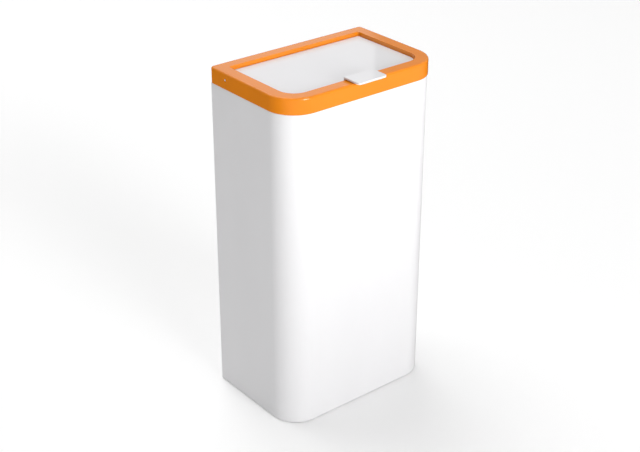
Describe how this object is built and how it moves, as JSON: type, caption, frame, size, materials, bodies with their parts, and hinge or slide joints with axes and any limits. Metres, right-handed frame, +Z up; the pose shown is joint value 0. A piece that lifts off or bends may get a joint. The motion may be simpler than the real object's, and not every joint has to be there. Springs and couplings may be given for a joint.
{
  "type": "slim waste bin",
  "caption": "Slim upright waste bin with a white body, a lift-off orange top frame and a recessed lid that hinges up by a finger tab.",
  "frame": {"origin": "centre of the bounding box's footprint, on the floor under the feet", "axes": "+Z up, the front with the finger tab faces -Y, the flat back faces +Y, the hinge line runs along X"},
  "size_m": [0.285, 0.1966, 0.5445],
  "materials": {
    "body_white": "white gloss moulding",
    "panel_white": "white satin moulding",
    "lid_white": "white high gloss moulding",
    "frame_orange": "orange gloss moulding",
    "bright_steel": "stainless",
    "ring_steel": "stainless wire",
    "clip_white": "white matt moulding",
    "black_rubber": "matt black rubber"
  },
  "bodies": {
    "bin_body": {"body_shell": "body_white", "back_panel": "panel_white", "panel_screw_1": "bright_steel", "panel_screw_2": "bright_steel", "panel_screw_3": "bright_steel", "panel_screw_4": "bright_steel", "panel_screw_5": "bright_steel", "panel_screw_6": "bright_steel", "panel_screw_7": "bright_steel", "panel_screw_8": "bright_steel", "foot_front_left": "black_rubber", "foot_front_right": "black_rubber", "foot_rear_left": "black_rubber", "foot_rear_right": "black_rubber", "bag_ring": "ring_steel", "ring_clip_front_left": "clip_white", "ring_clip_front_right": "clip_white", "ring_clip_rear_left": "clip_white", "ring_clip_rear_right": "clip_white"},
    "top_frame": {"rim_frame": "frame_orange", "hinge_pin_left": "bright_steel", "hinge_pin_right": "bright_steel", "lid_button_left": "black_rubber", "lid_button_right": "black_rubber"},
    "lid": {"lid": "lid_white"}
  },
  "joints": [
    {"name": "frame_lift", "type": "slide", "parent": "bin_body", "child": "top_frame", "axis": [0, 0, 1], "range_m": [0, 0.06]},
    {"name": "lid_hinge", "type": "hinge", "parent": "top_frame", "child": "lid", "pos_m": [0, 0.06155, 0.5289], "axis": [-1, 0, 0], "range_deg": [0, 100]}
  ]
}
